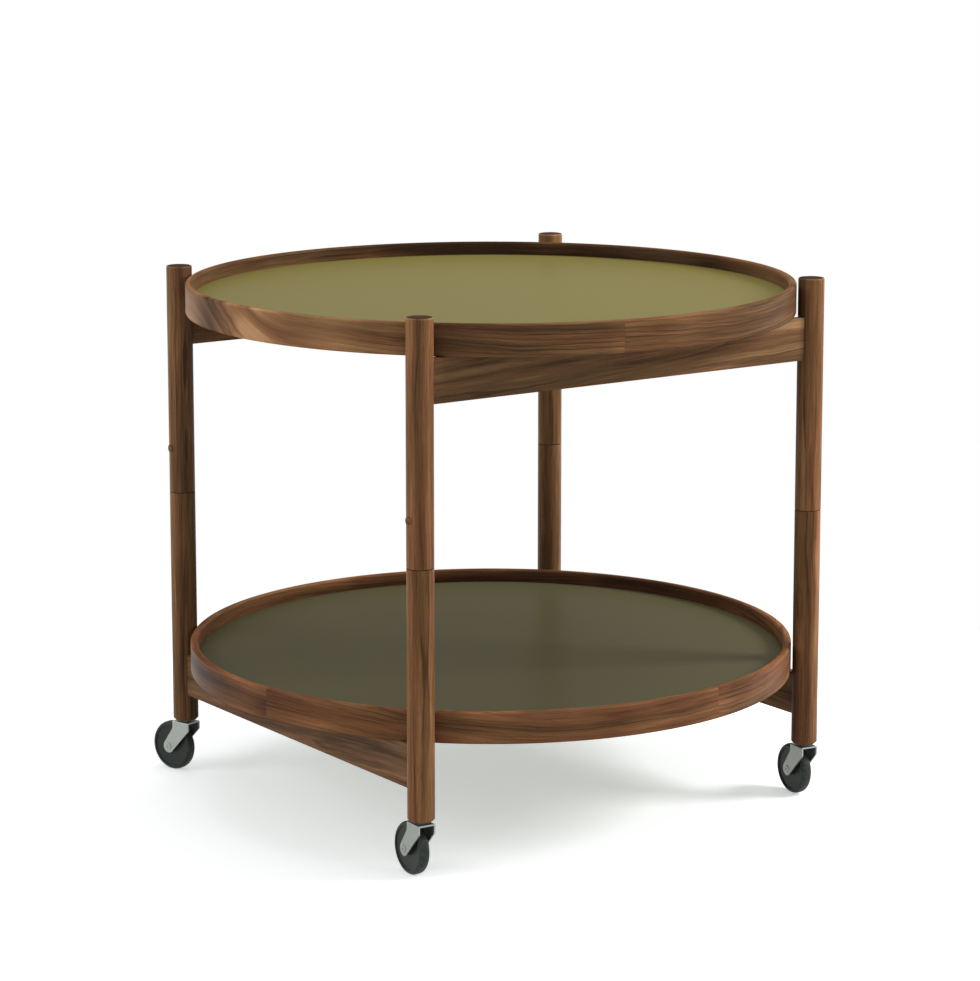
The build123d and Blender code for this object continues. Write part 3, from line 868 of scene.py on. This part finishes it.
# The same for their inner faces. Round the back, from about a quarter to a half of a turn, their dark
# stretch is partly darker wood and partly painted shade
RIM_INSIDE_TONES_AND_SHADE = {
    "upper": [
        (0.0, 0.45), (0.22, 0.45), (0.267, 0.31), (0.291, 0.14), (0.315, 0.29), (0.344, 0.24),
        (0.36, 0.15), (0.38, 0.14), (0.402, 0.20), (0.415, 0.06), (0.43, 0.0), (0.47, 0.0),
        (0.49, 0.13), (0.51, 0.36), (0.525, 0.36), (0.55, 0.53), (0.57, 0.49), (0.60, 0.35),
        (0.68, 0.42), (1.0, 0.45),
    ],
    "lower": [
        (0.0, 0.46), (0.18, 0.44), (0.23, 0.30), (0.27, 0.14), (0.30, 0.08), (0.315, 0.22),
        (0.33, 0.18), (0.365, 0.16), (0.39, 0.12), (0.42, 0.28), (0.45, 0.27), (0.47, 0.49),
        (0.50, 0.52), (0.545, 0.57), (0.62, 0.54), (0.70, 0.46), (1.0, 0.46),
    ],
}
# Where each rim's figure is broad and soft
RIM_CALMS = {
    "upper": [
        (0.0, 0.0), (0.16, 0.1), (0.24, 0.6), (0.36, 0.2), (0.58, 0.2), (0.66, 1.0), (0.84, 0.9),
        (0.90, 0.1), (1.0, 0.0),
    ],
    "lower": [(0.0, 0.0), (0.20, 0.1), (0.50, 0.3), (0.66, 0.5), (0.80, 0.1), (1.0, 0.0)],
}
# Where the rings cross each rim: from, to and rise, in metres along its run
RIM_CURLS = {
    "upper": [(0.43, 0.62, 0.080), (0.64, 0.86, 0.012)],
    "lower": [(-0.94, -0.55, -0.030), (0.50, 0.75, 0.020)],
}
# Dark and pale bands across the curled grain at the upper rim's left end
RIM_MARKS = {
    "upper": (0.018, 0.072, [
        (0.0, 0.50), (0.10, 0.53), (0.16, 0.35), (0.21, 0.52), (0.27, 0.50), (0.33, 0.32), (0.39, 0.50),
        (0.44, 0.46), (0.50, 0.34), (0.57, 0.56), (0.66, 0.62), (0.80, 0.58), (0.90, 0.45), (1.0, 0.50),
    ]),
}
RIM_SEEDS = {"upper": 17.3, "lower": 29.9}
RIM_HEART = (0.045, 0.030)
RIM_SIZES = (
    "Radius", "Thickness", "Low", "Height", "Rounding", "Groove depth", "Groove top", "Groove floor",
)
RIM_CORNERS = 8
# How much paler a rim's upward faces are made, a painted highlight
RIM_EDGE_HIGHLIGHT = 0.30
# How deep behind its outer face a rim takes the tones and painted shade of its inner one, in metres
RIM_DEPTHS = (0.003, 0.006)


def rim_section(index, of):
    """A board on edge with rounded corners, and the groove inside it that holds the panel."""
    inner = of["Radius"] - of["Thickness"]
    reach = inner + of["Thickness"] * between(index, 0, 1) + of["Groove depth"] * between(index, 4, 5)
    height = (of["Low"] + of["Height"] * between(index, 1, 2)
              + (of["Groove top"] - of["Low"]) * between(index, 3, 4)
              + (of["Groove floor"] - of["Low"]) * between(index, 5, 6))
    rounding = of["Rounding"] * (1.0 - between(index, 3, 6))
    return reach, height, rounding


class DressRims(bpy.types.Operator):
    """Bend the two rims, with walnut grain that runs round them and the joints of their strips"""

    bl_idname = "trolley.rims"
    bl_label = "Rims"

    def execute(self, context):
        wood = context.scene.trolley_wood
        rims = context.scene.trolley_rims
        group = ring_group("rim", RIM_SIZES, RIM_CORNERS, rim_section)
        for level, (figure, joints) in RIM_FIGURES.items():
            node = f"{level}_tray_rim"
            low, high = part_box(node)

            def build(tree):
                run, up, through, joint, turn, strip = round_rim(tree, high.x, (low.z + high.z) / 2, joints)
                outside = tree.grey_ramp(turn, RIM_CHANGES[level]) - 0.5
                # The inner faces' tones carry painted shade round the back
                inside = tree.grey_ramp(turn, RIM_INSIDE_TONES_AND_SHADE[level]) - 0.5
                shift = outside + (inside - outside) * (through * -1.0).smooth(*RIM_DEPTHS)
                calm = tree.grey_ramp(turn, RIM_CALMS[level])
                seed = strip * 4.7 + RIM_SEEDS[level]
                return walnut(tree, wood, run, up, through, high.z - low.z, figure, seed, RIM_HEART, 0.0,
                              RIM_CURLS[level], shift, calm, RIM_MARKS.get(level), joint=joint,
                              cast=getattr(rims, f"{level}_cast"), edge=RIM_EDGE_HIGHLIGHT)

            core_low, core_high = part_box(f"{level}_tray_core")
            groove = core_high.x + rims.groove_play - high.x + rims.thickness
            values = {
                "Radius": high.x, "Thickness": rims.thickness, "Low": low.z, "Height": high.z - low.z,
                "Rounding": rims.rounding, "Groove depth": groove, "Groove top": core_high.z,
                "Groove floor": core_low.z, "Steps": rims.rounds,
                "Material": shaded(f"walnut_{node}", build),
            }
            rim = made_by(group, values, f"{level}_rim")
            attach(rim, f"{level}_tray")
            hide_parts(node)
        return {"FINISHED"}


# One ply's thickness in metres, and the darker tone of the plywood
PLY = 0.0008
PLY_DARK = (0.24, 0.17, 0.10)


class DressPanels(bpy.types.Operator):
    """Give the tray panels their laminate faces and plywood cores"""

    bl_idname = "trolley.panels"
    bl_label = "Panels"

    def execute(self, context):
        panels = context.scene.trolley_panels

        def laminate(colour):
            def build(tree):
                cloud = tree.speckle(5.0, 3.0, 0.6, up=1.0) - 0.5
                speck = tree.speckle(2600.0, 1.0) - 0.5
                return {
                    "Base Color": tree.scale(colour, 1.0 + cloud * 0.07 + speck * 0.10),
                    "Roughness": panels.roughness + cloud * 0.06,
                    "Normal": tree.bump(tree.speckle(1500.0, 2.0, up=1.0), 0.10, 0.00003),
                    "Specular IOR Level": panels.gloss,
                }

            return build

        def core(tree):
            x, y, z = tree.here()
            plies = 0.75 + z.math("PINGPONG", z, PLY) * 320.0
            grain = tree.mix(tree.speckle(600.0, 2.0, up=3000.0), panels.core, PLY_DARK)
            return {"Base Color": tree.scale(grain, plies), "Roughness": 0.7}

        olive = shaded("olive_laminate", laminate(panels.olive))
        dark = shaded("dark_laminate", laminate(panels.dark))
        plywood = shaded("plywood", core)
        for level, above, below in (("upper", olive, dark), ("lower", dark, olive)):
            wear(f"{level}_tray_top_laminate", above)
            wear(f"{level}_tray_base_laminate", below)
            wear(f"{level}_tray_core", plywood)
        return {"FINISHED"}


# Metal pieces

FIBRE = ((0.018, 0.010, 0.006), (0.050, 0.028, 0.016))


def turned(colour, roughness):
    """Turned metal with fine rings and a little tarnish."""

    def build(tree):
        rings = tree.speckle(60.0, 2.0, up=9000.0) - 0.5
        tarnish = tree.speckle(300.0, 2.0) - 0.5
        return {
            "Base Color": tree.scale(colour, 1.0 + tarnish * 0.2),
            "Metallic": 1.0,
            "Roughness": roughness + rings * 0.1,
            "Normal": tree.bump(rings, 0.1, 0.00002),
        }

    return build


class DressPivots(bpy.types.Operator):
    """Give the pins, bushes, screws, sockets and seam washers their metals and fibre"""

    bl_idname = "trolley.pivots"
    bl_label = "Pivots"

    def execute(self, context):
        metal = context.scene.trolley_metal
        steel = shaded("turned_steel", turned(metal.steel, 0.32))
        brass = shaded("turned_brass", turned(metal.brass, 0.30))

        def fibre(tree):
            return {"Base Color": tree.mix(tree.speckle(900.0, 2.0), *FIBRE), "Roughness": 0.8}

        washers = shaded("washer_fibre", fibre)
        for node in frame["nodes"]:
            if "pivot_pin" in node or "retaining_screw" in node or "caster_sockets" in node:
                wear(node, steel)
            elif "pivot_bush" in node:
                wear(node, brass)
            elif "seam_washers" in node:
                wear(node, washers)
        return {"FINISHED"}


class DressCasters(bpy.types.Operator):
    """Give the forks, axles and stems their dull zinc plating"""

    bl_idname = "trolley.casters"
    bl_label = "Casters"

    def execute(self, context):
        metal = context.scene.trolley_metal

        def zinc(tree):
            cloud = tree.speckle(160.0, 3.0, 0.6) - 0.5
            grain = tree.speckle(2200.0, 2.0, up=700.0) - 0.5
            return {
                "Base Color": tree.scale(metal.zinc, 1.0 + cloud * 0.22 + grain * 0.06),
                "Metallic": 1.0,
                "Roughness": metal.roughness + cloud * 0.16,
                "Normal": tree.bump(grain, 0.12, 0.00004),
            }

        material = shaded("zinc_plate", zinc)
        for corner in CORNERS:
            for piece in ("stem", "fork", "axle"):
                wear(f"caster_{piece}_{corner}", material)
        return {"FINISHED"}


# Wheels

# Corners of a tyre's section on each half of its tread, and corners of a wheel body's whole section
TREAD_STEPS = 12
BODY_CORNERS = 12


def tyre_section(index, of):
    """A flat-sided tyre, crowned by an arc each side of a level middle."""
    drop = of["Crown"]
    side = (of["Width"] - of["Tread flat"]) * 0.5
    bend = (side * side + drop * drop) / (drop * 2.0)
    turn = (side / bend).math("ARCSINE", side / bend)
    last = 2 * TREAD_STEPS - 1
    step = (abs(index - last / 2) - 0.5) * (1.0 / (TREAD_STEPS - 1))
    angle = step * turn
    on_tread = between(index, 0, last)
    facing = index.above(TREAD_STEPS - 0.5) * 2.0 - 1.0
    tread_reach = of["Radius"] - bend + bend * angle.math("COSINE", angle)
    tread_height = facing * (of["Tread flat"] * 0.5 + bend * angle.math("SINE", angle))
    inner_height = of["Width"] * (between(index, last + 1, last + 1) - 0.5)
    reach = tread_reach * on_tread + (of["Radius"] - of["Depth"]) * (1.0 - on_tread)
    height = tread_height * on_tread + inner_height * (1.0 - on_tread)
    shoulders = between(index, 0, 0) + between(index, last, last)
    return reach, height, of["Rounding"] * shoulders


def body_section(index, of):
    """A wheel body: its bored hub, the disc round it, and the lip inside the tyre."""
    middle = (BODY_CORNERS - 1) / 2
    step = middle - abs(index - middle)
    side = index.above(middle) * 2.0 - 1.0
    bore, hub, tyre = of["Bore"], of["Hub"], of["Radius"] - of["Depth"]
    reach = (bore + (hub - bore) * step.above(0.5) + (tyre - of["Lip"] - hub) * step.above(2.5)
             + of["Lip"] * step.above(4.5))
    width = (of["Hub width"] + (of["Web"] - of["Hub width"]) * step.above(1.5)
             + (of["Width"] - of["Web"]) * step.above(3.5))
    return reach, side * width * 0.5, of["Rounding"] * between(step, 3, 4)


def wheel_place(corner):
    """The matrix that takes a wheel about Z at the origin to its place in the trolley."""
    low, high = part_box(f"wheel_tyre_{corner}")
    joint = next(joint for joint in frame["joints"] if joint["name"] == f"wheel_spin_{corner}")
    axle = Vector(joint["axis"]).normalized()
    turn = axle.to_track_quat("Z", "Y").to_matrix().to_4x4()
    return Matrix.Translation((low + high) / 2) @ turn


class DressWheels(bpy.types.Operator):
    """Make the four tyres of rubber and the four wheel bodies of plastic"""

    bl_idname = "trolley.wheels"
    bl_label = "Wheels"

    def execute(self, context):
        wheels = context.scene.trolley_wheels

        def rubber(tree):
            dust = tree.speckle(220.0, 3.0, 0.6)
            return {
                "Base Color": tree.mix(dust.smooth(0.42, 0.70) * 0.6, wheels.rubber, wheels.dust),
                "Roughness": 0.46 + dust * 0.15,
                "Normal": tree.bump(tree.speckle(3000.0, 1.0), 0.15, 0.00006),
                "Specular IOR Level": wheels.gloss,
            }

        def plastic(tree):
            cloud = tree.speckle(150.0, 2.0) - 0.5
            return {
                "Base Color": tree.scale(wheels.plastic, 1.0 + cloud * 0.3),
                "Roughness": 0.42 + cloud * 0.1,
                "Normal": tree.bump(tree.speckle(4000.0, 1.0), 0.08, 0.00003),
                "Specular IOR Level": wheels.gloss,
            }

        tyre_rubber = shaded("tyre_rubber", rubber)
        core_plastic = shaded("wheel_plastic", plastic)
        tyre_sizes = ("Radius", "Width", "Depth", "Crown", "Tread flat", "Rounding")
        tyre_group = ring_group("tyre", tyre_sizes, 2 * TREAD_STEPS + 2, tyre_section)
        body_sizes = ("Radius", "Width", "Depth", "Bore", "Hub", "Hub width", "Web", "Lip", "Rounding")
        body_group = ring_group("wheel_body", body_sizes, BODY_CORNERS, body_section)
        values = {
            "Radius": wheels.radius, "Width": wheels.width, "Depth": wheels.depth, "Crown": wheels.crown,
            "Tread flat": wheels.flat, "Rounding": wheels.rounding, "Bore": wheels.bore, "Hub": wheels.hub,
            "Hub width": wheels.hub_width, "Web": wheels.web, "Lip": wheels.lip, "Steps": wheels.rounds,
        }
        for corner in CORNERS:
            for group, piece, node, material, slot in (
                (tyre_group, "tyre", "wheel_tyre", tyre_rubber, "wheel_rubber"),
                (body_group, "wheel_body", "wheel_core", core_plastic, "wheel_plastic"),
            ):
                ring = made_by(group, {**values, "Material": material}, f"{piece}_{corner}")
                ring.data.transform(wheel_place(corner))
                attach(ring, f"wheel_{corner}")
                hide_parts(f"{node}_{corner}")
        return {"FINISHED"}


# The add-on's own parts

SETTINGS = {
    "trolley_stage": TrolleyStage,
    "trolley_wood": TrolleyWood,
    "trolley_rims": TrolleyRims,
    "trolley_panels": TrolleyPanels,
    "trolley_metal": TrolleyMetal,
    "trolley_wheels": TrolleyWheels,
}
OPERATORS = (
    DressStage, DressLegs, DressRails, DressRims, DressPanels, DressPivots, DressCasters, DressWheels,
)


class TrolleyPanel(bpy.types.Panel):
    """The trolley's operators and what each one reads"""

    bl_idname = "VIEW3D_PT_trolley"
    bl_label = "Serving Trolley"
    bl_space_type = "VIEW_3D"
    bl_region_type = "UI"
    bl_category = "Trolley"

    def draw(self, context):
        for operator in OPERATORS:
            self.layout.operator(operator.bl_idname)
        for setting in SETTINGS:
            values = getattr(context.scene, setting)
            box = self.layout.box()
            for name in values.bl_rna.properties.keys():
                if name not in ("rna_type", "name"):
                    box.prop(values, name)


def register():
    for part in (*SETTINGS.values(), *OPERATORS, TrolleyPanel):
        bpy.utils.register_class(part)
    for name, settings in SETTINGS.items():
        setattr(bpy.types.Scene, name, PointerProperty(type=settings))


def unregister():
    for name in SETTINGS:
        delattr(bpy.types.Scene, name)
    for part in reversed((*SETTINGS.values(), *OPERATORS, TrolleyPanel)):
        bpy.utils.unregister_class(part)


def main():
    register()
    bpy.ops.trolley.stage()
    bpy.ops.trolley.legs()
    bpy.ops.trolley.rails()
    bpy.ops.trolley.rims()
    bpy.ops.trolley.panels()
    bpy.ops.trolley.pivots()
    bpy.ops.trolley.casters()
    bpy.ops.trolley.wheels()


if __name__ == "__main__":
    main()
